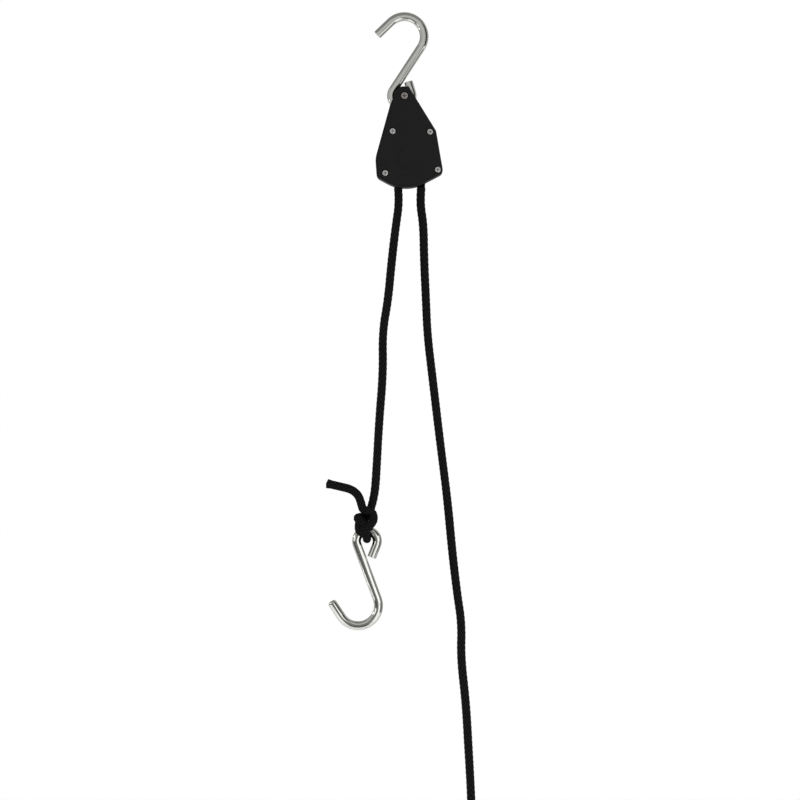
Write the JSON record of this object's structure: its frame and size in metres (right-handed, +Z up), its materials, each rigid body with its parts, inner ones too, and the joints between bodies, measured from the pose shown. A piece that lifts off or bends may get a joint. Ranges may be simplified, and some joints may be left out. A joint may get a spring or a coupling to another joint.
{
  "type": "rope ratchet hanger",
  "caption": "Hanging rope ratchet: black housing with a locking rope wheel on a steel S-hook, and a braided black rope with a second S-hook knotted to its end.",
  "frame": {"origin": "inside top of the upper hook's bow, where the hanger hangs", "axes": "+X to the right seen from the front, +Y from front to back along the wheel's axle, +Z up"},
  "size_m": [0.1368, 0.0245, 0.7741],
  "materials": {
    "steel": "polished",
    "housing": "matte",
    "screw": "satin",
    "top_screw": "satin",
    "inner_steel": "satin",
    "wheel": "matte",
    "bronze": "satin",
    "washer": "matte",
    "rope": "braided",
    "strap": "woven"
  },
  "bodies": {
    "hook_body": {"upper_hook": "steel"},
    "housing": {"front_shell": "housing", "rear_shell": "housing", "case_screws": "screw", "case_nuts": "screw", "top_screw": "top_screw", "top_nut": "screw", "top_sleeve": "inner_steel", "wheel_axle": "inner_steel", "thrust_washers": "washer", "pawl_pin": "inner_steel", "pawl_spring": "inner_steel", "rope_on_wheel": "rope", "rope_load_leg": "rope", "rope_free_leg": "rope", "rope_tail": "rope", "rope_knot": "rope", "rope_hank": "rope", "hank_tie": "strap"},
    "wheel": {"rope_wheel": "wheel", "wheel_bush": "bronze"},
    "pawl_body": {"pawl": "inner_steel", "release_bar": "inner_steel"},
    "load_hook_body": {"lower_hook": "steel"}
  },
  "joints": [
    {"name": "housing_swing", "type": "hinge", "parent": "hook_body", "child": "housing", "pos_m": [0, 0, -0.0605], "axis": [0, -1, 0], "range_deg": [-40, 40]},
    {"name": "wheel_turn", "type": "hinge", "parent": "housing", "child": "wheel", "pos_m": [0.0039, 0, -0.1105], "axis": [0, -1, 0], "continuous": true},
    {"name": "pawl_release", "type": "hinge", "parent": "housing", "child": "pawl_body", "pos_m": [0.0203, 0, -0.097], "axis": [0, -1, 0], "range_deg": [0, 8], "stiffness_Nm_per_rad": 0.03, "springref_deg": -12.03},
    {"name": "lower_hook_swing", "type": "hinge", "parent": "housing", "child": "load_hook_body", "pos_m": [-0.03, 0, -0.4147], "axis": [0, -1, 0], "range_deg": [-35, 35]}
  ]
}
